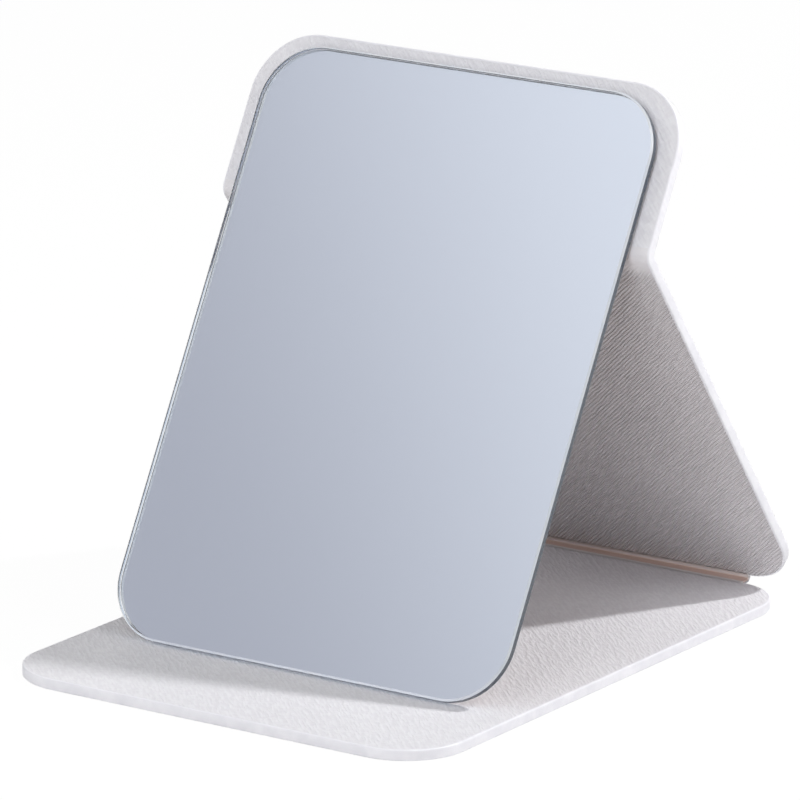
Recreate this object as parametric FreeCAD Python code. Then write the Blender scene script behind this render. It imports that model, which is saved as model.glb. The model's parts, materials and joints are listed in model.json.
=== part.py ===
import FreeCAD, Part
import math
import os
from collections import namedtuple

# Folding vanity mirror: a folio of three stiff leaves that stands as a triangle.
# The base lies flat, the rear leaf rises from its back edge, and the short upper leaf
# carries the glass, whose bottom edge stands on the base.
# Millimetres. X to the right, Y to the back, Z up. Origin at the centre of the underside.

# Cover leaves
cover_width = 150.0
base_length = 199.0
rear_length = 145.5
upper_length = 48.2
outer_corner_radius = 20.0
hinge_corner_radius = 18.0

# Layers of a leaf, and its pressed and painted edge
lining_thickness = 0.6
board_thickness = 2.1
cover_thickness = 0.6
rim_width = 0.65
rim_round = 0.45

# Mirror
glass_width = 138.0
glass_height = 185.0
glass_thickness = 2.7
glass_corner_radius = 19.0
glass_bevel = 0.6
silvering_thickness = 0.1
film_thickness = 0.2
mirror_top_border = 4.3

# Adhesive strips between the glass and the upper leaf
tape_thickness = 0.8
tape_height = 14.0
tape_end_margin = 13.0
tape_edge_margin = 4.0

# Folds, with radii on the hollow side of each bend
base_fold_radius = 1.5
foot_fold_radius = 0.5
crease_fold_radius = 1.0
crease_land = 0.6
spine_flat = 3.2
spine_rise = 5.0

# Where the mirror's bottom edge stands, from the front of the base
stand_distance = 45.9
stand_clearance = 0.3

# Sizes that follow from these
leaf_thickness = lining_thickness + board_thickness + cover_thickness
web_width = cover_width - 2 * hinge_corner_radius
mirror_stack = tape_thickness + film_thickness + silvering_thickness + glass_thickness
glass_top = upper_length - mirror_top_border
glass_bottom = glass_top - glass_height
crease_front_radius = crease_fold_radius + leaf_thickness
crease_height = -glass_bottom - crease_land
LAYERS = {
    "lining": (-lining_thickness, 0.0),
    "board": (-lining_thickness - board_thickness, -lining_thickness),
    "cover": (-leaf_thickness, -lining_thickness - board_thickness),
}

X_AXIS = FreeCAD.Vector(1, 0, 0)
LEAN_BRACKET = (5.0, 60.0)
ANGLE_TOLERANCE = 1e-9
LENGTH_TOLERANCE = 1e-6

# One step of a ply's path: straight on, or round a fold whose centre stands off the lining's face
Straight = namedtuple("Straight", "length")
Fold = namedtuple("Fold", "centre turn")


# The standing triangle, seen from the side

def polar(angle):
    """Unit vector in the side view, counted from the back and turning upwards."""
    radians = math.radians(angle)
    return FreeCAD.Vector(0, math.cos(radians), math.sin(radians))


def crease_centre(lean):
    """Axis of the crease when the mirror leans back by this angle with its foot on the base."""
    up = polar(90 - lean)
    front = polar(180 - lean)
    foot = FreeCAD.Vector(0, stand_distance - base_length / 2, leaf_thickness + stand_clearance)
    front_edge = foot + front * (glass_thickness - glass_bevel)
    return front_edge + up * crease_height - front * (mirror_stack + crease_front_radius)


def rear_run(lean):
    """Length and direction of the rear leaf between its two folds, for one lean of the mirror."""
    span = crease_centre(lean) - foot_axis
    offset = foot_fold_radius + crease_front_radius
    length = math.sqrt(span.Length ** 2 - offset ** 2)
    angle = math.degrees(math.atan2(span.z, span.y) + math.asin(offset / span.Length))
    return length, angle


def standing_lean():
    """Lean at which the rear leaf just reaches from the spine to the crease."""
    upright, reclined = LEAN_BRACKET
    while reclined - upright > ANGLE_TOLERANCE:
        lean = (upright + reclined) / 2
        if rear_run(lean)[0] > rear_length + crease_land:
            upright = lean
        else:
            reclined = lean
    return lean


base_axis = FreeCAD.Vector(0, base_length / 2, leaf_thickness + base_fold_radius)
foot_axis = (base_axis + polar(spine_rise - 90) * base_fold_radius + polar(spine_rise) * spine_flat
             + polar(spine_rise + 90) * foot_fold_radius)
mirror_lean = standing_lean()
crease_axis = crease_centre(mirror_lean)
rear_angle = rear_run(mirror_lean)[1]
crease_turn = rear_angle - (90 - mirror_lean)


# Outlines and plates, in a leaf's own frame: X across, Y along the leaf, Z out of its lining

def rounded_face(width, start, end, near_radius, far_radius):
    """Flat rectangle centred on X, with one corner radius at each end."""
    half = width / 2
    corners = [
        (half - near_radius, start + near_radius, near_radius, -90),
        (half - far_radius, end - far_radius, far_radius, 0),
        (far_radius - half, end - far_radius, far_radius, 90),
        (near_radius - half, start + near_radius, near_radius, 180),
    ]
    arcs = []
    for x, y, radius, first in corners:
        turns = [math.radians(first + step) for step in (0, 45, 90)]
        arcs.append([FreeCAD.Vector(x + radius * math.cos(a), y + radius * math.sin(a), 0) for a in turns])
    edges = []
    for arc, following in zip(arcs, arcs[1:] + arcs[:1]):
        if arc[0].distanceToPoint(arc[2]) > LENGTH_TOLERANCE:
            edges.append(Part.Arc(*arc).toShape())
        edges.append(Part.LineSegment(arc[2], following[0]).toShape())
    return Part.Face(Part.Wire(edges))


def plate(face, low, high):
    """A face raised to a plate between two heights."""
    base = face.translated(FreeCAD.Vector(0, 0, low))
    return base.extrude(FreeCAD.Vector(0, 0, high - low))


def level_edges(solid):
    """Edges of a plate's two flat faces."""
    return [edge for edge in solid.Edges
            if abs(edge.Vertexes[0].Z - edge.Vertexes[-1].Z) < LENGTH_TOLERANCE]


def end_faces(shape, y):
    """Faces of a piece that lie in the plane across the leaf at y, moved to the origin."""
    faces = [face for face in shape.Faces
             if abs(face.BoundBox.YMin - y) + abs(face.BoundBox.YMax - y) < LENGTH_TOLERANCE]
    return [face.translated(FreeCAD.Vector(0, -y, 0)) for face in faces]


# Leaves: a radius of None marks an end without a rim, which runs on into the crease

def leaf_face(length, near_radius, far_radius, inset):
    """Outline of a leaf, drawn in by the inset along every edge that has a rim."""
    start = 0.0 if near_radius is None else inset
    end = length if far_radius is None else length - inset
    near = 0.0 if near_radius is None else near_radius - inset
    far = 0.0 if far_radius is None else far_radius - inset
    return rounded_face(cover_width - 2 * inset, start, end, near, far)


def leaf_rim(length, near_radius, far_radius):
    """Rounded edge that runs round a leaf."""
    whole = plate(leaf_face(length, near_radius, far_radius, 0.0), -leaf_thickness, 0.0)
    open_ends = [y for y, radius in ((0.0, near_radius), (length, far_radius)) if radius is None]
    rounded = [edge for edge in level_edges(whole)
               if not any(abs(edge.CenterOfMass.y - y) < LENGTH_TOLERANCE for y in open_ends)]
    core = plate(leaf_face(length, near_radius, far_radius, rim_width), -leaf_thickness, 0.0)
    return whole.makeFillet(rim_round, rounded).cut(core)


def leaf_pieces(length, near_radius, far_radius):
    """Lining, board, cover and rim of one leaf, in its own frame."""
    core = leaf_face(length, near_radius, far_radius, rim_width)
    pieces = {layer: plate(core, low, high) for layer, (low, high) in LAYERS.items()}
    pieces["rim"] = leaf_rim(length, near_radius, far_radius)
    return pieces


def web_notch(start):
    """Room that the rim leaves for the spine's two plies."""
    depth = lining_thickness + cover_thickness
    corner = FreeCAD.Vector(-web_width / 2, start, -depth)
    return Part.makeBox(web_width, rim_width, depth, corner)


# Plies that bend from leaf to leaf

def step_frame(frame, step):
    """Frame at the far end of one step of a path."""
    if isinstance(step, Straight):
        return frame.multiply(FreeCAD.Placement(FreeCAD.Vector(0, step.length, 0), FreeCAD.Rotation()))
    turn = FreeCAD.Rotation(X_AXIS, step.turn)
    return frame.multiply(FreeCAD.Placement(FreeCAD.Vector(), turn, FreeCAD.Vector(0, 0, step.centre)))


def walk(frame, steps):
    """Frame at the far end of a whole path."""
    for step in steps:
        frame = step_frame(frame, step)
    return frame


def bent_ply(section, frame, steps):
    """A section carried along a path of straights and folds, as one solid."""
    runs = []
    for step in steps:
        if isinstance(step, Straight):
            run = section.extrude(FreeCAD.Vector(0, step.length, 0))
        else:
            axis = X_AXIS * math.copysign(1, step.turn)
            run = section.revolve(FreeCAD.Vector(0, 0, step.centre), axis, abs(step.turn))
        run.Placement = frame
        runs.append(run)
        frame = step_frame(frame, step)
    return runs[0].fuse(runs[1:]).removeSplitter()


def strip_section(width, low, high):
    """Upright rectangle across the leaf."""
    half = width / 2
    corners = [(-half, low), (half, low), (half, high), (-half, high), (-half, low)]
    return Part.Face(Part.makePolygon([FreeCAD.Vector(x, 0, z) for x, z in corners]))


spine_path = [
    Straight(rim_width),
    Fold(base_fold_radius, spine_rise),
    Straight(spine_flat),
    Fold(foot_fold_radius, rear_angle - spine_rise),
    Straight(rim_width),
]
crease_path = [
    Straight(crease_land),
    Fold(-crease_front_radius, -crease_turn),
    Straight(crease_land),
]
base_frame = FreeCAD.Placement(FreeCAD.Vector(0, -base_length / 2, leaf_thickness), FreeCAD.Rotation())
web_start = walk(base_frame, [Straight(base_length - rim_width)])
rear_frame = walk(web_start, spine_path[:-1])
crease_start = walk(rear_frame, [Straight(rear_length)])
upper_frame = walk(crease_start, crease_path)


# Mirror, in the upper leaf's frame

def glass_face(inset):
    """Outline of the glass, drawn in by the inset."""
    radius = glass_corner_radius - inset
    return rounded_face(glass_width - 2 * inset, glass_bottom + inset, glass_top - inset, radius, radius)


def mirror_pieces():
    """Glass, silvering, back film and adhesive strips, stacked up from the upper lining."""
    film_low = tape_thickness
    silvering_low = film_low + film_thickness
    glass_low = silvering_low + silvering_thickness
    glass = plate(glass_face(0.0), glass_low, mirror_stack)
    tape_width = glass_width - 2 * tape_end_margin
    tape_starts = {"lower": tape_edge_margin, "upper": glass_top - tape_edge_margin - tape_height}
    pieces = {
        "glass": glass.makeChamfer(glass_bevel, level_edges(glass)),
        "silvering": plate(glass_face(glass_bevel), silvering_low, glass_low),
        "back_film": plate(glass_face(glass_bevel), film_low, silvering_low),
    }
    for place, start in tape_starts.items():
        strip = rounded_face(tape_width, start, start + tape_height, 0.0, 0.0)
        pieces["tape_" + place] = plate(strip, 0.0, tape_thickness)
    return pieces


# Assembly

def placed(pieces, prefix, frame):
    """Pieces of one sub-assembly, named and set in their frame."""
    named = {}
    for name, shape in pieces.items():
        solid = shape.copy()
        solid.Placement = frame
        named[prefix + "_" + name] = solid
    return named


def build():
    """Every piece of the mirror, where it stands."""
    base = leaf_pieces(base_length, outer_corner_radius, hinge_corner_radius)
    base["rim"] = base["rim"].cut(web_notch(base_length - rim_width))
    rear = leaf_pieces(rear_length, hinge_corner_radius, None)
    rear["rim"] = rear["rim"].cut(web_notch(0.0))
    upper = leaf_pieces(upper_length, None, outer_corner_radius)
    pieces = placed(base, "base", base_frame)
    pieces.update(placed(rear, "rear", rear_frame))
    pieces.update(placed(upper, "upper", upper_frame))
    pieces.update(placed(mirror_pieces(), "mirror", upper_frame))
    for name, shape in rear.items():
        bends = [bent_ply(face, crease_start, crease_path) for face in end_faces(shape, rear_length)]
        pieces["crease_" + name] = Part.Compound(bends)
    web_plies = {
        "spine_lining": (-lining_thickness, 0.0),
        "spine_cover": (-lining_thickness - cover_thickness, -lining_thickness),
    }
    for name, (low, high) in web_plies.items():
        pieces[name] = bent_ply(strip_section(web_width, low, high), web_start, spine_path)
    return pieces


parts = build()
os.makedirs("parts", exist_ok=True)
for node, shape in parts.items():
    shape.exportStep("parts/" + node + ".step")
print("lean", round(mirror_lean, 3), "rear", round(rear_angle, 3), "crease", round(crease_turn, 3))
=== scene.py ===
"""Folding vanity mirror: leather skins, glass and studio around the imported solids.

Pieces are modelled in millimetres in the frame of the leaf that carries them (X across the leaf,
Y along it, Z out of its lining) and then set in the row frame in metres.
"""

import json
import logging
import math
from collections.abc import Sequence
from dataclasses import dataclass, field, replace
from enum import Enum

import bmesh
import bpy
from bmesh.types import BMEdge, BMesh, BMFace, BMVert
from bpy.types import Material, Node, NodeSocket, NodeTree, Object
from mathutils import Matrix, Vector


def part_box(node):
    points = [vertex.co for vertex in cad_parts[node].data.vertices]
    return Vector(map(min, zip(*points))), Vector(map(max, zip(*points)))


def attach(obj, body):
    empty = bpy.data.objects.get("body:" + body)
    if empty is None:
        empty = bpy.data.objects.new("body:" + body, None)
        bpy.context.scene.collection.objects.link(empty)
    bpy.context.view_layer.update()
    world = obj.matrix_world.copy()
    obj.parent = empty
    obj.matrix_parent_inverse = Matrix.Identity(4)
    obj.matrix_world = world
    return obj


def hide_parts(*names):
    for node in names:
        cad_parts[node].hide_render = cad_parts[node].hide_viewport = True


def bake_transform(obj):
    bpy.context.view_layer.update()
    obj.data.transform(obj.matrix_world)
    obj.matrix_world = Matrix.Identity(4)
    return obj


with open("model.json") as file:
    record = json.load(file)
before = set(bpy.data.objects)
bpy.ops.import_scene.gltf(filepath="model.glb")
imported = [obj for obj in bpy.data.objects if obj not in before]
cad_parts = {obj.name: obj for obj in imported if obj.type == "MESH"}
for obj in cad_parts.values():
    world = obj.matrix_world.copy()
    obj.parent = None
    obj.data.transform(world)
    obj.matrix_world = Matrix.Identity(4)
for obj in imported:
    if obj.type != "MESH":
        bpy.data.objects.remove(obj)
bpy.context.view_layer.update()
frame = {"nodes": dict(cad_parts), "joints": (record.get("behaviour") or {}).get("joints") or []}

MM = 0.001
WELD = 1e-4
X, Y, Z = range(3)
ACROSS = Vector((1, 0, 0))
UPWARDS = Vector((0, 0, 1))
SHEET = "sheet"

# Places on the unfolded sheet of leather, in millimetres from the front of the base
# The spine's painted warm glow rises over the first span and fades over the second.
SPINE_WARMS = (199.2, 200.4)
SPINE_COOLS = (202.2, 203.2)
REAR_START = 203.4
GRAIN_FADES = (343.0, 348.6)
UPPER_START = 354.9

# Corner radii of the leaves, in millimetres
OUTER_RADIUS = 20.0
HINGE_RADIUS = 18.0

# Inputs of a mix node that go by number, because it has several of each name
SHARE, COLOUR_A, COLOUR_B = 0, 6, 7
# Length after which a wave texture repeats, at a scale of one
WAVE_LENGTH = math.tau / 20
# Most of a noise texture lies in this span, round this middle.
NOISE_SPAN = (0.32, 0.68)
NOISE_MIDDLE = (0.5, 0.5, 0.5)

log = logging.getLogger("vanity_mirror")


class Body(Enum):
    """The rigid bodies of the folio."""

    BASE = "base_leaf"
    SPINE = "spine"
    REAR = "rear_leaf"
    MIRROR = "mirror_leaf"


class Slot(Enum):
    """Material slots of the record, listed beside the new pieces."""

    LINING = "embossed_lining"
    COVER = "embossed_cover"
    EDGE = "edge"
    BOARD = "greyboard"
    GLASS = "glass"


class Rounded(Enum):
    """What a rounding is made on."""

    CORNERS = "VERTICES"
    EDGES = "EDGES"


# Nodes and finishes


def linear(colour: str) -> tuple[float, float, float, float]:
    """Turn an sRGB hex colour into a linear one.

    Args:
        colour: Six hex digits after a hash.

    Returns:
        Linear red, green and blue, and an alpha of one.
    """
    channels = [int(colour[i : i + 2], 16) / 255 for i in (1, 3, 5)]
    curve = [c / 12.92 if c <= 0.04045 else ((c + 0.055) / 1.055) ** 2.4 for c in channels]
    return (*curve, 1.0)


WHITE = linear("#FFFFFF")


def add_node(
    tree: NodeTree,
    kind: str,
    links: dict[str | int, object] | Sequence[object] = (),
    to: NodeSocket | None = None,
    **settings: object,
) -> Node:
    """Add a node with its settings, values and links.

    Args:
        tree: Node tree that gets the node.
        kind: Blender's name for the node.
        links: What goes into its inputs, in their order or by name or number: a value, an output,
            or a node whose first output feeds it.
        to: Input that the node's own first output feeds.
        settings: Properties of the node itself.

    Returns:
        The new node.
    """
    node = tree.nodes.new(kind)
    for key, value in settings.items():
        setattr(node, key, value)
    for key, value in links.items() if isinstance(links, dict) else enumerate(links):
        if isinstance(value, Node):
            value = next(out for out in value.outputs if out.enabled)
        if isinstance(value, NodeSocket):
            tree.links.new(value, node.inputs[key])
        else:
            node.inputs[key].default_value = value
    if to:
        tree.links.new(next(out for out in node.outputs if out.enabled), to)
    return node


@dataclass(frozen=True)
class Finish:
    """A surface: one Principled shader, with what is the same all over set on its sockets.

    Its sizes are in millimetres and its angles in degrees.
    """

    name: str
    colour: str
    roughness: float

    def material(self) -> Material:
        """Make the material, or find it if an earlier piece has it.

        Returns:
            The material of this finish.
        """
        found = bpy.data.materials.get(self.name)
        if found:
            return found
        made = bpy.data.materials.new(self.name)
        made.use_nodes = True
        shader = made.node_tree.nodes["Principled BSDF"]
        shader.inputs["Base Color"].default_value = linear(self.colour)
        shader.inputs["Roughness"].default_value = self.roughness
        self.dress(shader)
        return made

    def dress(self, shader: Node) -> None:
        """Feed the shader with this finish's pattern.

        Args:
            shader: The material's Principled shader.
        """
        raise NotImplementedError

    def specks(self, tree: NodeTree, size: float, detail: float = 2.0) -> Node:
        """Soft specks all through the piece.

        Args:
            tree: Node tree of the material.
            size: Width of one speck in millimetres.
            detail: Octaves of finer specks in them.

        Returns:
            The node that gives zero between the specks and one on them.
        """
        place = add_node(tree, "ShaderNodeTexCoord").outputs["Object"]
        grain = {"Vector": place, "Scale": 1 / (size * MM), "Detail": detail}
        noise = add_node(tree, "ShaderNodeTexNoise", grain)
        return add_node(
            tree, "ShaderNodeMapRange", (noise, *NOISE_SPAN), interpolation_type="SMOOTHSTEP"
        )

    def tint(
        self,
        shader: Node,
        share: Node,
        tones: tuple[str, str],
        relief: Node | None = None,
        depth: float = 0.0,
    ) -> None:
        """Tint the surface between two colours, and raise it.

        Args:
            shader: The material's Principled shader.
            share: Node that gives zero for the first colour and one for the second.
            tones: The two colours.
            relief: Node that gives the height, from zero to one, or nothing for a smooth surface.
            depth: Full height in millimetres.
        """
        tree = shader.id_data
        first, second = (linear(tone) for tone in tones)
        add_node(
            tree,
            "ShaderNodeMix",
            {SHARE: share, COLOUR_A: first, COLOUR_B: second},
            to=shader.inputs["Base Color"],
            data_type="RGBA",
        )
        if relief:
            raised = {"Height": relief, "Distance": depth * MM}
            add_node(tree, "ShaderNodeBump", raised, to=shader.inputs["Normal"])


@dataclass(frozen=True)
class CrossGrainLeather(Finish):
    """Polyurethane leather pressed with a cross grain.

    Fine broken ridges on one diagonal catch raking light, with weaker ones across them. Towards a
    fold, the grain can be ironed out between two places on the sheet.
    """

    # Colour of the grain's valleys: darker than the ridges, as painted shade in them.
    valley: str
    ridge_angle: float
    stroke_length: float
    broken: float
    cross_share: float
    depth: float
    wander: float
    wander_size: float = 5.0
    evenness: float = 1.0
    ridge_pitch: float = 0.96
    stroke_span: tuple[float, float] = (0.36, 0.64)
    patch_size: float = 35.0
    patch_share: float = 0.6
    shade_span: tuple[float, float] = (0.2, 1.1)
    sheen: float = 0.06
    flattens: tuple[float, float] | None = None
    flattened: float = 0.88

    def ridges(self, tree: NodeTree, sheet: Node, angle: float, share: float) -> Node:
        """Parallel ridges, broken into strokes.

        Args:
            tree: Node tree of the material.
            sheet: Node that gives the place on the sheet, in millimetres.
            angle: Direction of the ridges, in degrees from the leaf's width.
            share: Height of the tallest ridge.

        Returns:
            The node that gives the height.
        """
        turned = add_node(
            tree,
            "ShaderNodeMapping",
            {"Vector": sheet, "Rotation": (0, 0, math.radians(angle))},
            vector_type="TEXTURE",
        )
        wave = add_node(
            tree,
            "ShaderNodeTexWave",
            {"Vector": turned, "Scale": WAVE_LENGTH / self.ridge_pitch},
            bands_direction="Y",
        )
        drawn = add_node(
            tree,
            "ShaderNodeMapping",
            {"Vector": turned, "Scale": (self.stroke_length, self.ridge_pitch, self.ridge_pitch)},
            vector_type="TEXTURE",
        )
        strokes = add_node(tree, "ShaderNodeTexNoise", {"Vector": drawn, "Scale": 1.0, "Detail": 1.0})
        tall = add_node(
            tree,
            "ShaderNodeMapRange",
            (strokes, *self.stroke_span, (1 - self.broken) * share, share),
            interpolation_type="SMOOTHSTEP",
        )
        even = add_node(tree, "ShaderNodeMapRange", {"Value": wave, "To Min": 1 - self.evenness})
        return add_node(tree, "ShaderNodeMath", (even, tall), operation="MULTIPLY")

    def dress(self, shader: Node) -> None:
        """Press the ridges along the sheet, which runs on from leaf to leaf.

        Args:
            shader: The material's Principled shader.
        """
        tree = shader.id_data
        sheet = add_node(tree, "ShaderNodeAttribute", attribute_name=SHEET).outputs["Vector"]
        slow = {"Vector": sheet, "Scale": 1 / self.wander_size, "Detail": 1.0}
        drift = add_node(tree, "ShaderNodeTexNoise", slow).outputs["Color"]
        centred = add_node(tree, "ShaderNodeVectorMath", (drift, NOISE_MIDDLE), operation="SUBTRACT")
        wander = (self.wander,) * 3
        bent = add_node(
            tree, "ShaderNodeVectorMath", (centred, wander, sheet), operation="MULTIPLY_ADD"
        )
        main = self.ridges(tree, bent, self.ridge_angle, 1 - self.cross_share)
        cross = self.ridges(tree, bent, self.ridge_angle - 90, self.cross_share)
        height = add_node(tree, "ShaderNodeMath", (main, cross))
        # Ironing the grain out also takes away its painted valley shade, so the leather grows paler
        # towards the fold: partly smoothed grain, partly painted light at the crease.
        if self.flattens:
            along = add_node(tree, "ShaderNodeSeparateXYZ", (sheet,)).outputs["Y"]
            ironed = add_node(
                tree,
                "ShaderNodeMapRange",
                (along, *self.flattens, 0.0, self.flattened),
                interpolation_type="SMOOTHSTEP",
            )
            height = add_node(tree, "ShaderNodeMix", {"Factor": ironed, "A": height, "B": 1.0})
        broad = {"Vector": sheet, "Scale": 1 / self.patch_size, "Detail": 2.0}
        patch = add_node(tree, "ShaderNodeTexNoise", broad)
        shade = add_node(
            tree, "ShaderNodeMath", (patch, self.patch_share, height), operation="MULTIPLY_ADD"
        )
        # The valleys take the darker colour as painted shade, varied by broad patches of random tone.
        pressed = add_node(tree, "ShaderNodeMapRange", (shade, *self.shade_span))
        self.tint(shader, pressed, (self.valley, self.colour), height, self.depth)
        add_node(
            tree,
            "ShaderNodeMapRange",
            (height, 0.0, 1.0, self.roughness + self.sheen, self.roughness - self.sheen),
            to=shader.inputs["Roughness"],
        )


@dataclass(frozen=True)
class FlexedLeather(Finish):
    """The same leather where it folds.

    Its grain is ironed out and it creases along the fold. Its warm tint between two places on
    the sheet is painted light: a warm glow on the flat of the spine, not the leather's colour.
    """

    warm: str
    warms: tuple[float, float]
    cools: tuple[float, float]
    crease_pitch: float = 0.5
    crease_length: float = 14.0
    crease_span: tuple[float, float] = (0.3, 0.7)
    least_warm: float = 0.75
    depth: float = 0.03

    def dress(self, shader: Node) -> None:
        """Paint a warm glow on the ply between two places on the sheet, and crease it along its fold.

        Args:
            shader: The material's Principled shader.
        """
        tree = shader.id_data
        sheet = add_node(tree, "ShaderNodeAttribute", attribute_name=SHEET).outputs["Vector"]
        drawn = add_node(
            tree,
            "ShaderNodeMapping",
            {"Vector": sheet, "Scale": (self.crease_length, self.crease_pitch, self.crease_pitch)},
            vector_type="TEXTURE",
        )
        creases = add_node(tree, "ShaderNodeTexNoise", {"Vector": drawn, "Scale": 1.0, "Detail": 3.0})
        along = add_node(tree, "ShaderNodeSeparateXYZ", (sheet,)).outputs["Y"]
        # The painted warm glow rises over one span and falls over the next, on the flat of the spine.
        bent, flat = (
            add_node(tree, "ShaderNodeMapRange", (along, *span), interpolation_type="SMOOTHSTEP")
            for span in ((*self.warms, 0.0, 1.0), (*self.cools, 1.0, 0.0))
        )
        painted_glow_share = add_node(tree, "ShaderNodeMath", (bent, flat), operation="MULTIPLY")
        uneven = add_node(
            tree, "ShaderNodeMapRange", (creases, *self.crease_span, 1.0, self.least_warm)
        )
        share = add_node(tree, "ShaderNodeMath", (painted_glow_share, uneven), operation="MULTIPLY")
        self.tint(shader, share, (self.colour, self.warm), creases, self.depth)


@dataclass(frozen=True)
class TurnedEdge(Finish):
    """Leather edge that was turned, pressed and painted: smooth, satin and uneven by hand.

    Its pores are drawn coarser than real ones, so that they show.
    """

    worn: str
    patch_size: float = 6.0
    pore_size: float = 0.5
    depth: float = 0.012
    duller: float = 0.06
    shinier: float = 0.04

    def dress(self, shader: Node) -> None:
        """Vary the paint in soft patches, with fine pores.

        Args:
            shader: The material's Principled shader.
        """
        tree = shader.id_data
        patch = self.specks(tree, self.patch_size)
        pores = self.specks(tree, self.pore_size)
        self.tint(shader, patch, (self.worn, self.colour), pores, self.depth)
        add_node(
            tree,
            "ShaderNodeMapRange",
            (patch, 0.0, 1.0, self.roughness + self.duller, self.roughness - self.shinier),
            to=shader.inputs["Roughness"],
        )


@dataclass(frozen=True)
class Polished(Finish):
    """A polished surface, with the faint uneven haze of a wiped one."""

    haze_size: float
    clear: float = 0.0
    metal: float = 0.0
    ior: float = 1.5

    def dress(self, shader: Node) -> None:
        """Let light through or reflect it, and vary the polish.

        Args:
            shader: The material's Principled shader.
        """
        shader.inputs["IOR"].default_value = self.ior
        shader.inputs["Transmission Weight"].default_value = self.clear
        shader.inputs["Metallic"].default_value = self.metal
        tree = shader.id_data
        haze = {"Value": self.specks(tree, self.haze_size), "To Max": self.roughness}
        add_node(tree, "ShaderNodeMapRange", haze, to=shader.inputs["Roughness"])


@dataclass(frozen=True)
class EdgeGlass(Finish):
    """Edge of the pane.

    Light that entered the face can't leave here, so a polished edge looks dark and a satin arris is
    a milky line beside it.
    """

    streak: str
    clear: float
    ior: float = 1.52
    streak_size: float = 4.0

    def dress(self, shader: Node) -> None:
        """Vary the depth of the colour along the edge.

        Args:
            shader: The material's Principled shader.
        """
        shader.inputs["IOR"].default_value = self.ior
        shader.inputs["Transmission Weight"].default_value = self.clear
        streaks = self.specks(shader.id_data, self.streak_size, detail=3.0)
        self.tint(shader, streaks, (self.colour, self.streak))


@dataclass(frozen=True)
class Mottled(Finish):
    """A plain matt layer with two scales of mottling, such as paint, foam or pulp board."""

    other: str
    patch_size: float
    grit_size: float
    depth: float
    sheen: float = 0.06

    def dress(self, shader: Node) -> None:
        """Mottle the colour and roughen the surface.

        Args:
            shader: The material's Principled shader.
        """
        tree = shader.id_data
        patch = self.specks(tree, self.patch_size, detail=4.0)
        grit = self.specks(tree, self.grit_size)
        self.tint(shader, patch, (self.other, self.colour), grit, self.depth)
        add_node(
            tree,
            "ShaderNodeMapRange",
            (grit, 0.0, 1.0, self.roughness - self.sheen, self.roughness + self.sheen),
            to=shader.inputs["Roughness"],
        )


# Rear lining and covers: the darker colour and valleys are partly painted shade, for the shade inside
# the fold where the rear lining lies.
LEATHER = CrossGrainLeather(
    "white_cross_grain_pu_leather",
    "#EDEAED",
    0.5,
    valley="#D2CED1",
    ridge_angle=45.0,
    stroke_length=6.0,
    broken=0.5,
    cross_share=0.32,
    depth=0.5,
    wander=0.6,
)
# The rear lining: its grain and painted valley shade fade out towards the crease, and the paler band
# there is partly painted light.
IRONED = replace(LEATHER, name="pu_leather_ironed_at_the_crease", flattens=GRAIN_FADES)
# Base and upper leaf are lined with the same leather, cut the other way and more worked in grain;
# this copy is paler than the rear lining's, as painted light on the lit base and upper leaf.
CUT_ACROSS = CrossGrainLeather(
    "white_cross_grain_pu_leather_cut_across",
    "#F1F0F4",
    0.5,
    valley="#E8E6EB",
    ridge_angle=135.0,
    stroke_length=4.5,
    broken=1.0,
    cross_share=0.3,
    depth=0.18,
    wander=0.7,
    wander_size=2.5,
    evenness=0.35,
    ridge_pitch=1.05,
)
# The spine's inner ply: its warm tint is painted light, a warm glow on the flat of the spine.
HINGE_PLY = FlexedLeather(
    "flexed_pu_leather_painted_glow", "#EDE9EA", 0.6, warm="#DEBEB0", warms=SPINE_WARMS, cools=SPINE_COOLS
)
EDGE = TurnedEdge("turned_and_painted_pu_edge", "#F7F6FB", 0.42, worn="#F0EFF5")
# Float glass: clear, and seen by what it reflects and by its edge.
GLASS = Polished("polished_float_glass", "#FDFEFE", 0.02, haze_size=30.0, clear=1.0, ior=1.52)
GLASS_ARRIS = EdgeGlass("satin_glass_arris", "#F2F8FE", 0.15, streak="#FBFDFF", clear=0.5)
GLASS_EDGE = EdgeGlass("polished_glass_edge", "#B4C6E0", 0.12, streak="#CCDAEC", clear=0.87)
# Silver laid on the back of the glass: a clear mirror, with a breath of haze.
SILVER = Polished("silver_on_glass", "#EEF0F2", 0.015, haze_size=25.0, metal=1.0)
# Sprayed paint: matt and warm grey, with faint clouds.
FILM = Mottled(
    "mirror_backing_paint", "#B5A298", 0.6, "#AE9A90", patch_size=5.0, grit_size=0.6, depth=0.015
)
# Foam tape: dull, pale and finely pitted.
FOAM = Mottled(
    "closed_cell_foam_tape", "#D9D8D2", 0.85, "#C9C8C1", patch_size=2.0, grit_size=0.4, depth=0.05
)
# Pressed pulp: dull grey, with darker flecks.
PULP = Mottled(
    "pressed_greyboard", "#9A958C", 0.9, "#7E7970", patch_size=3.0, grit_size=0.5, depth=0.05
)


# Shaping


@dataclass(frozen=True)
class Straight:
    """A straight run of a sweep, along Y of its own frame."""

    length: float
    steps: int = 1

    def after(self, share: float = 1.0) -> Matrix:
        """Frame after this share of the run, seen from the frame before it."""
        return Matrix.Translation((0, self.length * share, 0))


@dataclass(frozen=True)
class Bend:
    """A bend of a sweep about an axis of its own frame."""

    centre: tuple[float, float, float]
    axis: Sequence[float]
    angle: float
    steps: int

    def after(self, share: float = 1.0) -> Matrix:
        """Frame after this share of the bend, seen from the frame before it."""
        turn = Matrix.Rotation(math.radians(self.angle * share), 4, Vector(self.axis))
        return Matrix.Translation(self.centre) @ turn @ Matrix.Translation(-Vector(self.centre))


Path = Sequence[Straight | Bend]


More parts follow.
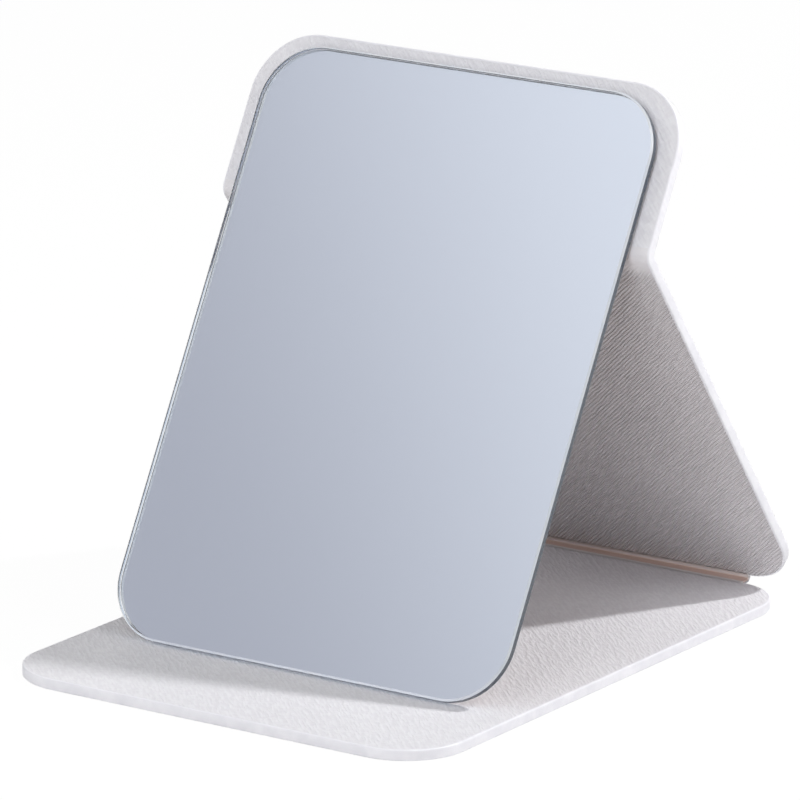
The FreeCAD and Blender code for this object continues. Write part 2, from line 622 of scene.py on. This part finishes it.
def fold(centre: float, turn: float, steps: int) -> Bend:
    """Bend of a ply about a line across the leaf.

    Args:
        centre: Height of the line over the lining's face.
        turn: Angle in degrees, positive towards the lining.
        steps: Facets of the bend.

    Returns:
        The bend.
    """
    return Bend((0, 0, centre), tuple(ACROSS), turn, steps)


def corner(radius: float, steps: int = 20) -> Bend:
    """Quarter turn to the left round a leaf's corner.

    Args:
        radius: Radius of the outer edge.
        steps: Facets of the corner.

    Returns:
        The bend.
    """
    return Bend((-radius, 0, 0), tuple(UPWARDS), 90, steps)


def walk(place: Matrix, path: Path) -> Matrix:
    """Frame at the far end of a path.

    Args:
        place: Frame at its near end.
        path: Its runs and bends.

    Returns:
        The frame at its far end.
    """
    for step in path:
        place = place @ step.after()
    return place


def whole(bm: BMesh) -> list:
    """All points, edges and faces of a mesh."""
    return bm.verts[:] + bm.edges[:] + bm.faces[:]


def lies_at(item: BMEdge | BMFace, axis: int, place: float) -> bool:
    """Whether every point of an edge or face is at one place on an axis."""
    return all(abs(vert.co[axis] - place) < WELD for vert in item.verts)


def round_off(bm: BMesh, geom: list, width: float, facets: int, affect: Rounded) -> None:
    """Round the corners of an outline, or the edges of a plate.

    Args:
        bm: Mesh that holds them.
        geom: The corners or edges.
        width: How much is taken off.
        facets: Facets of the rounding.
        affect: Which of the two they are.
    """
    bmesh.ops.bevel(
        bm,
        geom=geom,
        offset=width,
        offset_type="OFFSET",
        segments=facets,
        profile=0.5,
        affect=affect.value,
        material=-1,
    )


def section(bm: BMesh, across: Sequence[float], heights: Sequence[float]) -> list[BMFace]:
    """Draw an upright rectangle across the start of a sweep.

    Args:
        bm: Mesh that gets it.
        across: Its two ends in X.
        heights: Its two ends in Z.

    Returns:
        The new face, in a list.
    """
    left, right = across
    low, high = heights
    corners = ((left, low), (right, low), (right, high), (left, high))
    verts = [bm.verts.new((x, 0, z)) for x, z in corners]
    return bmesh.ops.contextual_create(bm, geom=verts)["faces"]


def sweep(bm: BMesh, faces: list[BMFace], place: Matrix, path: Path) -> tuple[list[BMFace], Matrix]:
    """Carry faces along a path of runs and bends.

    Args:
        bm: Mesh that holds them.
        faces: Faces at the near end.
        place: Frame at the near end.
        path: Its runs and bends.

    Returns:
        The faces and the frame at the far end.
    """
    sheet = bm.verts.layers.float_vector.get(SHEET)
    for step in path:
        for _ in range(step.steps):
            made = bmesh.ops.extrude_face_region(bm, geom=faces)["geom"]
            # Past the near end, the faces that were carried on stay behind as an inner wall.
            walls = [f for f in faces if any(len(edge.link_faces) > 2 for edge in f.edges)]
            bmesh.ops.delete(bm, geom=walls, context="FACES")
            faces = [item for item in made if isinstance(item, BMFace)]
            verts = [item for item in made if isinstance(item, BMVert)]
            move = place @ step.after(1 / step.steps) @ place.inverted()
            for vert in verts:
                start = vert.co.copy()
                vert.co = move @ start
                if sheet:
                    vert[sheet] = vert[sheet] + Vector((0, (vert.co - start).length, 0))
            place = move @ place
    return faces, place


def rounded_plate(
    width: float,
    ends: Sequence[float],
    radii: Sequence[float],
    heights: Sequence[float],
    facets: int = 24,
) -> BMesh:
    """Plate with a rounded outline, centred across the leaf.

    Args:
        width: Its width.
        ends: Where it starts and ends along the leaf.
        radii: Corner radius at its start and at its end.
        heights: Its lower and upper face.
        facets: Facets of each corner.

    Returns:
        The mesh.
    """
    bm = bmesh.new()
    bmesh.ops.create_grid(bm, x_segments=1, y_segments=1, size=0.5)
    bmesh.ops.scale(bm, verts=bm.verts, vec=(width, ends[1] - ends[0], 1))
    bmesh.ops.translate(bm, verts=bm.verts, vec=(0, sum(ends) / 2, heights[0]))
    for end, radius in zip(ends, radii):
        if radius > 0:
            corners = [vert for vert in bm.verts if abs(vert.co.y - end) < WELD]
            round_off(bm, corners, radius, facets, Rounded.CORNERS)
    made = bmesh.ops.extrude_face_region(bm, geom=bm.faces[:])["geom"]
    lifted = [item for item in made if isinstance(item, BMVert)]
    bmesh.ops.translate(bm, verts=lifted, vec=(0, 0, heights[1] - heights[0]))
    return bm


def soften(bm: BMesh, height: float, width: float, facets: int, joins: Sequence[float] = ()) -> None:
    """Bevel the edges of a plate's face.

    Args:
        bm: The plate.
        height: Height of the face.
        width: Width of the bevel.
        facets: Facets of the bevel.
        joins: Places along the leaf where the plate runs on and keeps its edge.
    """
    rim = [edge for edge in bm.edges if lies_at(edge, Z, height)]
    free = [edge for edge in rim if not any(lies_at(edge, Y, join) for join in joins)]
    round_off(bm, free, width, facets, Rounded.EDGES)
    # A narrow border inside the flat, a quarter of the bevel, keeps its soft shading off the flat.
    flat = [face for face in bm.faces if lies_at(face, Z, height)]
    bmesh.ops.inset_region(bm, faces=flat, thickness=width / 4, use_even_offset=True)


def mark_sheet(bm: BMesh, start: float) -> None:
    """Note each point's place on the flat sheet of leather, for its grain.

    Args:
        bm: Piece of the sheet, still in its leaf's frame.
        start: How far along the sheet the leaf starts.
    """
    sheet = bm.verts.layers.float_vector.new(SHEET)
    for vert in bm.verts:
        vert[sheet] = vert.co + Vector((0, start, 0))


def make_piece(
    name: str, bm: BMesh, place: Matrix, finishes: Sequence[Finish], sharp: float = 40.0
) -> Object:
    """Turn a modelled mesh into a finished piece in the row frame.

    Args:
        name: Name of the piece.
        bm: Its mesh in millimetres.
        place: Frame that it was modelled in.
        finishes: Its finishes, in the order of its material numbers.
        sharp: Angle in degrees past which an edge stays crisp.

    Returns:
        The object, at the origin, with its place in its mesh.
    """
    bmesh.ops.remove_doubles(bm, verts=bm.verts, dist=WELD)
    bmesh.ops.recalc_face_normals(bm, faces=bm.faces)
    bmesh.ops.transform(bm, matrix=Matrix.Scale(MM, 4) @ place, verts=bm.verts)
    for face in bm.faces:
        face.smooth = True
    mesh = bpy.data.meshes.new(name)
    bm.to_mesh(mesh)
    bm.free()
    mesh.set_sharp_from_angle(angle=math.radians(sharp))
    for finish in finishes:
        mesh.materials.append(finish.material())
    piece = bpy.data.objects.new(name, mesh)
    bpy.context.scene.collection.objects.link(piece)
    return piece


def settle(piece: Object, nodes: Sequence[str], body: Body | None = None) -> None:
    """Hide the solids that a piece stands for, and hang it on the body that it rides on.

    Args:
        piece: The piece.
        nodes: Solids that it stands for.
        body: Body that it rides on, or nothing for a piece that lies between two.
    """
    if body:
        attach(piece, body.value)
    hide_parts(*nodes)
    log.info("%s stands for %s", piece.name, ", ".join(nodes))


def paint_node(node: str, finish: Finish) -> None:
    """Give a solid that keeps its own shape its finish.

    Args:
        node: Name of the solid.
        finish: Its finish.
    """
    mesh = frame["nodes"][node].data
    mesh.materials.clear()
    mesh.materials.append(finish.material())
    log.info("%s keeps its solid", node)


def middle(node: str) -> Vector:
    """Middle of a solid's box, in metres."""
    low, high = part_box(node)
    return (low + high) / 2


# The folio


@dataclass(frozen=True)
class Layers:
    """Layers of a leaf, counted down from the lining's face, and its edge."""

    lining: float = 0.6
    board: float = 2.1
    cover: float = 0.6
    rim: float = 0.65
    rim_round: float = 0.45
    rim_facets: int = 6
    seam: float = 0.08
    seam_facets: int = 3

    @property
    def depth(self) -> float:
        """Thickness of a leaf."""
        return self.lining + self.board + self.cover

    @property
    def web(self) -> float:
        """Thickness of the spine's two plies."""
        return self.lining + self.cover


LAYERS = Layers()


def edge_section(bm: BMesh, place: Matrix) -> list[BMFace]:
    """Draw the rounded section of a leaf's edge, parted where the spine's plies lie.

    Args:
        bm: Mesh that gets it.
        place: Frame at the start of the edge, with X pointing out of the leaf.

    Returns:
        The lower and upper face of the section.
    """
    faces = section(bm, (-LAYERS.rim, 0.0), (-LAYERS.depth, 0.0))
    outer = [vert for vert in faces[0].verts if vert.co.x > -WELD]
    round_off(bm, outer, LAYERS.rim_round, LAYERS.rim_facets, Rounded.CORNERS)
    bmesh.ops.bisect_plane(bm, geom=whole(bm), plane_co=(0, 0, -LAYERS.web), plane_no=UPWARDS)
    bmesh.ops.transform(bm, matrix=place, verts=bm.verts)
    return sorted(bm.faces, key=lambda face: face.calc_center_median().z)


@dataclass
class Leaf:
    """A stiff leaf: lining and cover of leather with a turned edge, round a board."""

    name: str
    body: Body
    near_radius: float | None
    far_radius: float | None
    leather: CrossGrainLeather
    sheet_start: float = 0.0
    place: Matrix = field(init=False)
    length: float = field(init=False)
    width: float = field(init=False)

    def __post_init__(self) -> None:
        """Read the leaf's plane and size from its solids."""
        lining = frame["nodes"][f"{self.name}_lining"].data
        normal = max(lining.polygons, key=lambda face: face.area).normal.copy()
        low, high = (middle(f"{self.name}_{layer}") for layer in ("cover", "lining"))
        if (high - low).dot(normal) < 0:
            normal.negate()
        along = normal.cross(ACROSS)
        rim = [vert.co / MM for vert in frame["nodes"][f"{self.name}_rim"].data.vertices]
        reach = [point.dot(along) for point in rim]
        top = max(vert.co.dot(normal) / MM for vert in lining.vertices)
        axes = Matrix((ACROSS, along, normal)).transposed().to_4x4()
        self.place = Matrix.Translation(along * min(reach) + normal * top) @ axes
        self.length = max(reach) - min(reach)
        self.width = 2 * max(point.x for point in rim)

    def skin(self, name: str, heights: Sequence[float], face: float) -> Object:
        """Sheet of leather on one side of the leaf.

        Args:
            name: Name of the piece.
            heights: Lower and upper face of the sheet.
            face: The one that shows, whose edges are pressed down.

        Returns:
            The piece.
        """
        inset = LAYERS.rim
        ends = (
            0.0 if self.near_radius is None else inset,
            self.length if self.far_radius is None else self.length - inset,
        )
        radii = [0.0 if r is None else r - inset for r in (self.near_radius, self.far_radius)]
        bm = rounded_plate(self.width - 2 * inset, ends, radii, heights)
        joins = [end for end, radius in zip(ends, radii) if radius == 0]
        soften(bm, face, LAYERS.seam, LAYERS.seam_facets, joins)
        mark_sheet(bm, self.sheet_start)
        leather = self.leather if face == 0 else LEATHER
        return make_piece(name, bm, self.place, [leather], sharp=20.0)

    def edge(self, name: str) -> Object:
        """Turned edge, swept round one half of the leaf and mirrored.

        Args:
            name: Name of the piece.

        Returns:
            The piece.
        """
        half = self.width / 2
        path: Path
        if self.near_radius and self.far_radius:
            start = Matrix.Rotation(math.radians(-90), 4, "Z")
            path = [
                Straight(half - self.near_radius),
                corner(self.near_radius),
                Straight(self.length - self.near_radius - self.far_radius),
                corner(self.far_radius),
            ]
        elif self.near_radius:
            turned = Matrix.Rotation(math.radians(180), 4, "Z")
            start = Matrix.Translation((-half, self.length, 0)) @ turned
            path = [Straight(self.length - self.near_radius), corner(self.near_radius)]
        else:
            start = Matrix.Translation((half, 0, 0))
            path = [
                Straight(self.length - self.far_radius),
                corner(self.far_radius),
                Straight(half - self.far_radius),
            ]
        bm = bmesh.new()
        faces, place = sweep(bm, edge_section(bm, start), start, path)
        if self.near_radius:
            # Along the hinge, the spine's plies take the place of the upper part.
            lower = min(faces, key=lambda face: face.calc_center_median().z)
            sweep(bm, [lower], place, [Straight(half - (self.far_radius or self.near_radius))])
        inner = [face for face in bm.faces if lies_at(face, X, 0.0)]
        bmesh.ops.delete(bm, geom=inner, context="FACES")
        bmesh.ops.mirror(bm, geom=whole(bm), axis="X", merge_dist=WELD)
        return make_piece(name, bm, self.place, [EDGE])

    def build(self) -> None:
        """Make the leaf's skins and edge, and finish its board."""
        depth = LAYERS.depth
        inside = self.skin(f"{self.name}_inside_leather", (-LAYERS.lining, 0.0), 0.0)
        settle(inside, [f"{self.name}_lining"], self.body)
        outside = self.skin(f"{self.name}_outside_leather", (-depth, LAYERS.cover - depth), -depth)
        settle(outside, [f"{self.name}_cover"], self.body)
        edge = self.edge(f"{self.name}_turned_edge")
        settle(edge, [f"{self.name}_rim"], self.body)
        paint_node(f"{self.name}_board", PULP)


def joint_axis(name: str) -> Vector:
    """Middle of a joint's axis, in millimetres."""
    joint = next(j for j in frame["joints"] if j["name"] == name)
    return Vector(joint["pos_m"]) / MM


def turn_between(near: Matrix, far: Matrix) -> float:
    """Angle in degrees by which one leaf's frame turns towards its lining into another's."""
    here, there = near.col[Y].to_3d(), far.col[Y].to_3d()
    return math.degrees(math.atan2(here.cross(there).x, here.dot(there)))


@dataclass
class Spine:
    """The flexible strip between base and rear leaf: two plies, each parted in its middle."""

    base: Leaf
    rear: Leaf
    hinge_radius: float = HINGE_RADIUS
    reach: float = 1.2
    near_facets: int = 4
    far_facets: int = 18
    start: Matrix = field(init=False)
    flat: float = field(init=False)
    near: Path = field(init=False)
    far: Path = field(init=False)

    def __post_init__(self) -> None:
        """Work out the strip's path from the joints' axes."""
        self.start = self.base.place @ Matrix.Translation((0, self.base.length - self.reach, 0))
        base_axis, foot_axis = joint_axis("stand_fold"), joint_axis("cover_open")
        near_radius = base_axis.z - self.base.place.translation.z
        foot_radius = (foot_axis - self.rear.place.translation).length
        gap = foot_axis - base_axis
        drop = near_radius - foot_radius
        self.flat = math.sqrt(gap.length_squared - drop**2)
        rise = math.degrees(math.atan2(gap.z, gap.y) + math.asin(drop / gap.length))
        turn = turn_between(self.base.place, self.rear.place) - rise
        lap, half_flat = Straight(self.reach), Straight(self.flat / 2)
        self.near = [lap, fold(near_radius, rise, self.near_facets), half_flat]
        self.far = [half_flat, fold(foot_radius, turn, self.far_facets), lap]

    def ply(
        self, name: str, path: Path, place: Matrix, heights: Sequence[float], sheet_start: float
    ) -> Object:
        """One ply of one half of the strip: the inner one flexed, the outer one grained.

        Args:
            name: Name of the piece.
            path: Its runs and bends.
            place: Frame at the start of the path.
            heights: Its lower and upper face.
            sheet_start: How far along the sheet of leather it starts.

        Returns:
            The piece.
        """
        half = self.base.width / 2 - self.hinge_radius
        bm = bmesh.new()
        faces = section(bm, (-half, half), heights)
        mark_sheet(bm, sheet_start)
        sweep(bm, faces, Matrix.Identity(4), path)
        return make_piece(name, bm, place, [LEATHER if heights[1] < 0 else HINGE_PLY])

    def build(self) -> None:
        """Make both plies of both halves."""
        middle_frame = walk(self.start, self.near)
        plies = {
            "inner": ((-LAYERS.lining, 0.0), Slot.LINING, "spine_lining"),
            "outer": ((-LAYERS.web, -LAYERS.lining), Slot.COVER, "spine_cover"),
        }
        for side, (heights, slot, node) in plies.items():
            lift = Matrix.Translation((0, 0, sum(heights) / 2))
            along = self.base.length - self.reach
            front = self.ply(f"spine_{side}_ply_front", self.near, self.start, heights, along)
            begin, end = ((at @ lift).translation for at in (self.start, middle_frame))
            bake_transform(front)
            settle(front, [node])
            along = self.base.length + self.flat / 2
            rear = self.ply(f"spine_{side}_ply_rear", self.far, middle_frame, heights, along)
            begin, end = ((walk(middle_frame, self.far[:n]) @ lift).translation for n in (1, 2))
            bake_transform(rear)
            settle(rear, [node])


@dataclass
class Crease:
    """The fold between rear and upper leaf, which takes leather, scored board and edges round."""

    rear: Leaf
    upper: Leaf
    land: float = 0.6
    facets: int = 20
    start: Matrix = field(init=False)
    path: Path = field(init=False)

    def __post_init__(self) -> None:
        """Work out the fold from the joint's axis and the two leaves."""
        self.start = self.rear.place @ Matrix.Translation((0, self.rear.length, 0))
        height = (self.start.inverted() @ joint_axis("crease_fold")).z
        turn = turn_between(self.rear.place, self.upper.place)
        land = Straight(self.land)
        self.path = [land, fold(height, turn, self.facets), land]

    def bend(self, piece: Object, heights: Sequence[float]) -> None:
        """Bake into its mesh the place of a piece that lies between the two leaves.

        Args:
            piece: The piece.
            heights: Its lower and upper face.
        """
        lift = Matrix.Translation((0, 0, sum(heights) / 2))
        begin, end = ((walk(self.start, self.path[:n]) @ lift).translation for n in (1, 2))
        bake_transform(piece)

    def build(self) -> None:
        """Make the layers that go round the crease and the two ends of the edge."""
        top, bottom = 0.0, -LAYERS.depth
        under_lining, over_cover = -LAYERS.lining, LAYERS.cover - LAYERS.depth
        layers = {
            "inside_leather": ((under_lining, top), IRONED, Slot.LINING, "crease_lining"),
            "scored_board": ((over_cover, under_lining), PULP, Slot.BOARD, "crease_board"),
            "outside_leather": ((bottom, over_cover), LEATHER, Slot.COVER, "crease_cover"),
        }
        half = self.rear.width / 2
        free = half - LAYERS.rim
        for name, (heights, finish, slot, node) in layers.items():
            bm = bmesh.new()
            faces = section(bm, (-free, free), heights)
            mark_sheet(bm, self.rear.sheet_start + self.rear.length)
            sweep(bm, faces, Matrix.Identity(4), self.path)
            piece = make_piece(f"crease_{name}", bm, self.start, [finish])
            self.bend(piece, heights)
            settle(piece, [node])
        bm = bmesh.new()
        faces = edge_section(bm, Matrix.Translation((half, 0, 0)))
        sweep(bm, faces, Matrix.Identity(4), self.path)
        bmesh.ops.mirror(bm, geom=whole(bm), axis="X", merge_dist=-1)
        piece = make_piece("crease_turned_edges", bm, self.start, [EDGE])
        self.bend(piece, (bottom, top))
        settle(piece, ["crease_rim"])


@dataclass
class MirrorPane:
    """The glass with its silvering, backing paint and adhesive strips.

    A face of the pane is flat where the upright part of its normal reaches the level.
    """

    upper: Leaf
    corner_radius: float = 19.0
    corner_facets: int = 40
    front_bevel: float = 0.6
    back_bevel: float = 0.4
    overlap: float = 0.03
    level: float = 0.95

    def build(self) -> None:
        """Make the pane with its bevelled edge, and finish the layers behind it."""
        inward = self.upper.place.inverted()
        glass = [inward @ (v.co / MM) for v in frame["nodes"]["mirror_glass"].data.vertices]
        ends = [pick(point.y for point in glass) for pick in (min, max)]
        back, front = (pick(point.z for point in glass) for pick in (min, max))
        # The glass reaches into the silvering, so that no gap shows between them.
        back -= self.overlap
        width = 2 * max(point.x for point in glass)
        radii = (self.corner_radius,) * 2
        bm = rounded_plate(width, ends, radii, (back, front), self.corner_facets)
        soften(bm, front, self.front_bevel, facets=1)
        soften(bm, back, self.back_bevel, facets=1)
        bm.normal_update()
        finishes = [GLASS, GLASS_ARRIS, GLASS_EDGE]
        above_back = back + self.back_bevel + WELD
        for face in bm.faces:
            if abs(face.normal.z) < self.level:
                arris = min(vert.co.z for vert in face.verts) > above_back
                face.material_index = finishes.index(GLASS_ARRIS if arris else GLASS_EDGE)
        pane = make_piece("mirror_pane", bm, self.upper.place, finishes, sharp=28.0)
        settle(pane, ["mirror_glass"], Body.MIRROR)
        paint_node("mirror_silvering", SILVER)
        paint_node("mirror_back_film", FILM)
        for place in ("upper", "lower"):
            paint_node(f"mirror_tape_{place}", FOAM)


# The studio


@dataclass(frozen=True)
class Camera:
    """The photograph's viewpoint, in metres, degrees and, for the lens, millimetres."""

    place: tuple[float, float, float] = (1.163285, -1.729956, 0.636998)
    yaw: float = 33.9369
    pitch: float = 15.1295
    roll: float = 0.3375
    lens: float = 331.829
    sensor: float = 36.0

    def axes(self) -> Matrix:
        """Work out which way the camera looks.

        Returns:
            Its right, up and back axes, as columns.
        """
        yaw, pitch, roll = (math.radians(a) for a in (self.yaw, self.pitch, self.roll))
        upright = Matrix.Rotation(yaw, 3, "Z") @ Matrix.Rotation(math.pi / 2 - pitch, 3, "X")
        return upright @ Matrix.Rotation(roll, 3, "Z")

    def build(self) -> None:
        """Set the scene's camera."""
        data = bpy.data.cameras.new("camera")
        data.lens, data.sensor_width = self.lens, self.sensor
        camera = bpy.data.objects.new("camera", data)
        camera.matrix_world = Matrix.Translation(self.place) @ self.axes().to_4x4()
        bpy.context.scene.collection.objects.link(camera)
        bpy.context.scene.camera = camera


@dataclass(frozen=True)
class Lamp:
    """A round soft light that looks at the object, in metres and watts."""

    name: str
    towards: tuple[float, float, float]
    size: float
    watts: float
    distance: float = 1.6
    aim: tuple[float, float, float] = (0.0, 0.0, 0.05)

    def build(self) -> None:
        """Hang the light and turn it to the object."""
        data = bpy.data.lights.new(self.name, "AREA")
        data.shape, data.size, data.energy = "DISK", self.size, self.watts
        lamp = bpy.data.objects.new(self.name, data)
        back = Vector(self.towards).normalized()
        lamp.location = Vector(self.aim) + back * self.distance
        lamp.rotation_mode = "QUATERNION"
        lamp.rotation_quaternion = (-back).to_track_quat("-Z", "Y")
        bpy.context.scene.collection.objects.link(lamp)


@dataclass
class Studio:
    """White sweep, soft lights, and a glowing card painted as the mirror's reflection, in metres."""

    camera: Camera
    pane: Leaf
    ambient: float = 0.01
    floor_size: float = 8.0
    floor_gap: float = 0.0002
    floor_colour: str = "#E6E6E6"
    floor_roughness: float = 0.9
    floor_glow: float = 1.03
    floor_show: float = 0.94
    card_distance: float = 0.7
    card_size: float = 1.6
    card_tilt: float = 0.3
    # Painted reflection: shades across the glowing card, which the mirror shows.
    card_shades: tuple[tuple[float, str], ...] = (
        (-0.45, "#868F9B"),
        (-0.122, "#B6B9C6"),
        (0.178, "#ECF1FD"),
        (0.32, "#FFFFFF"),
    )
    lamps: tuple[Lamp, ...] = (
        Lamp("key_behind_right", (0.575, 0.49, 0.69), 0.1, 16.6),
        Lamp("overhead_front", (0.0, -0.62, 0.78), 1.2, 5.4),
        Lamp("front", (0.25, -1.0, 0.22), 0.8, 7.2),
        Lamp("front_left", (-0.8, -0.5, 0.6), 1.0, 5.8),
        Lamp("side_right", (0.8, 0.0, 0.8), 0.8, 5.5),
    )

    def seen(self, tree: NodeTree) -> Node:
        """Tell what the camera sees, straight or in glass or metal, from what only gets light.

        Args:
            tree: Node tree to add to.

        Returns:
            The node that gives one where a surface is seen.
        """
        path = add_node(tree, "ShaderNodeLightPath")
        total = path.outputs["Is Camera Ray"]
        for kind in ("Is Glossy Ray", "Is Transmission Ray"):
            pair = (total, path.outputs[kind])
            total = add_node(tree, "ShaderNodeMath", pair, operation="MAXIMUM")
        return total

    def light_world(self) -> None:
        """White where it is seen, and a plain level of light everywhere else."""
        world = bpy.data.worlds.new("white_studio")
        bpy.context.scene.world = world
        world.use_nodes = True
        tree = world.node_tree
        background = tree.nodes["Background"]
        background.inputs["Color"].default_value = WHITE
        strength = {"Value": self.seen(tree), "To Min": self.ambient}
        add_node(tree, "ShaderNodeMapRange", strength, to=background.inputs["Strength"])

    def lay_paper(self, name: str, size: float, paper: str) -> tuple[Object, NodeTree]:
        """Lay out a square of paper.

        Args:
            name: Name of the square.
            size: Its width.
            paper: Name of its material.

        Returns:
            The square, flat at the origin, and its material's nodes.
        """
        bm = bmesh.new()
        bmesh.ops.create_grid(bm, x_segments=1, y_segments=1, size=size / 2)
        mesh = bpy.data.meshes.new(name)
        bm.to_mesh(mesh)
        bm.free()
        made = bpy.data.materials.new(paper)
        made.use_nodes = True
        mesh.materials.append(made)
        square = bpy.data.objects.new(name, mesh)
        bpy.context.scene.collection.objects.link(square)
        return square, made.node_tree

    def lay_floor(self) -> None:
        """A pale floor that shows white and keeps the object's shadow."""
        floor, tree = self.lay_paper("floor", self.floor_size, "white_paper_floor")
        floor.data.transform(Matrix.Translation((0, 0, -self.floor_gap)))
        shader = tree.nodes["Principled BSDF"]
        shader.inputs["Base Color"].default_value = linear(self.floor_colour)
        shader.inputs["Roughness"].default_value = self.floor_roughness
        shader.inputs["Specular IOR Level"].default_value = 0.0
        glow = add_node(tree, "ShaderNodeEmission", {"Color": WHITE, "Strength": self.floor_glow})
        share = add_node(
            tree, "ShaderNodeMath", (self.seen(tree), self.floor_show), operation="MULTIPLY"
        )
        surface = tree.nodes["Material Output"].inputs["Surface"]
        add_node(tree, "ShaderNodeMixShader", (share, shader, glow), to=surface)

    def hang_card(self) -> None:
        """Glowing card, seen only in the mirror as painted reflection: darker left, lighter right."""
        normal = self.pane.place.col[Z].to_3d()
        mirrored = [axis.reflect(normal) for axis in self.camera.axes().transposed()]
        centre = middle("mirror_silvering")
        away = (centre - Vector(self.camera.place)).normalized().reflect(normal)
        axes = Matrix(mirrored).transposed().to_4x4()
        card, tree = self.lay_paper("shaded_card", self.card_size, "glowing_card_painted_reflection")
        card.matrix_world = Matrix.Translation(centre + away * self.card_distance) @ axes
        place = add_node(tree, "ShaderNodeTexCoord").outputs["Object"]
        split = add_node(tree, "ShaderNodeSeparateXYZ", (place,))
        across = add_node(
            tree,
            "ShaderNodeMath",
            (split.outputs["Y"], self.card_tilt, split.outputs["X"]),
            operation="MULTIPLY_ADD",
        )
        half = self.card_size / 2
        share = add_node(tree, "ShaderNodeMapRange", (across, -half, half))
        shade = add_node(tree, "ShaderNodeValToRGB", (share,))
        shade.color_ramp.interpolation = "EASE"
        stops = shade.color_ramp.elements
        for place_across, colour in self.card_shades:
            stops.new(place_across / self.card_size + 0.5).color = linear(colour)
        stops.remove(stops[0])
        stops.remove(stops[-1])
        surface = tree.nodes["Material Output"].inputs["Surface"]
        # The card glows though it is no lamp; only the mirror sees it.
        add_node(tree, "ShaderNodeEmission", {"Color": shade}, to=surface)
        card.visible_camera = card.visible_diffuse = card.visible_shadow = False

    def build(self) -> None:
        """Set up world, floor, card, lights and camera."""
        bpy.context.scene.view_settings.view_transform = "Standard"
        self.light_world()
        self.lay_floor()
        self.hang_card()
        for lamp in self.lamps:
            lamp.build()
        self.camera.build()


def write_sizes() -> None:
    """Bring the scene's transforms up to date."""
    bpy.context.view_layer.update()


def main() -> None:
    """Build the folio, the mirror and the studio."""
    logging.basicConfig(level=logging.INFO, format="%(name)s: %(message)s")
    base = Leaf("base", Body.BASE, OUTER_RADIUS, HINGE_RADIUS, CUT_ACROSS)
    rear = Leaf("rear", Body.REAR, HINGE_RADIUS, None, IRONED, REAR_START)
    upper = Leaf("upper", Body.MIRROR, None, OUTER_RADIUS, CUT_ACROSS, UPPER_START)
    for leaf in (base, rear, upper):
        leaf.build()
    Spine(base, rear).build()
    Crease(rear, upper).build()
    MirrorPane(upper).build()
    Studio(Camera(), upper).build()
    write_sizes()


if __name__ == "__main__":
    main()
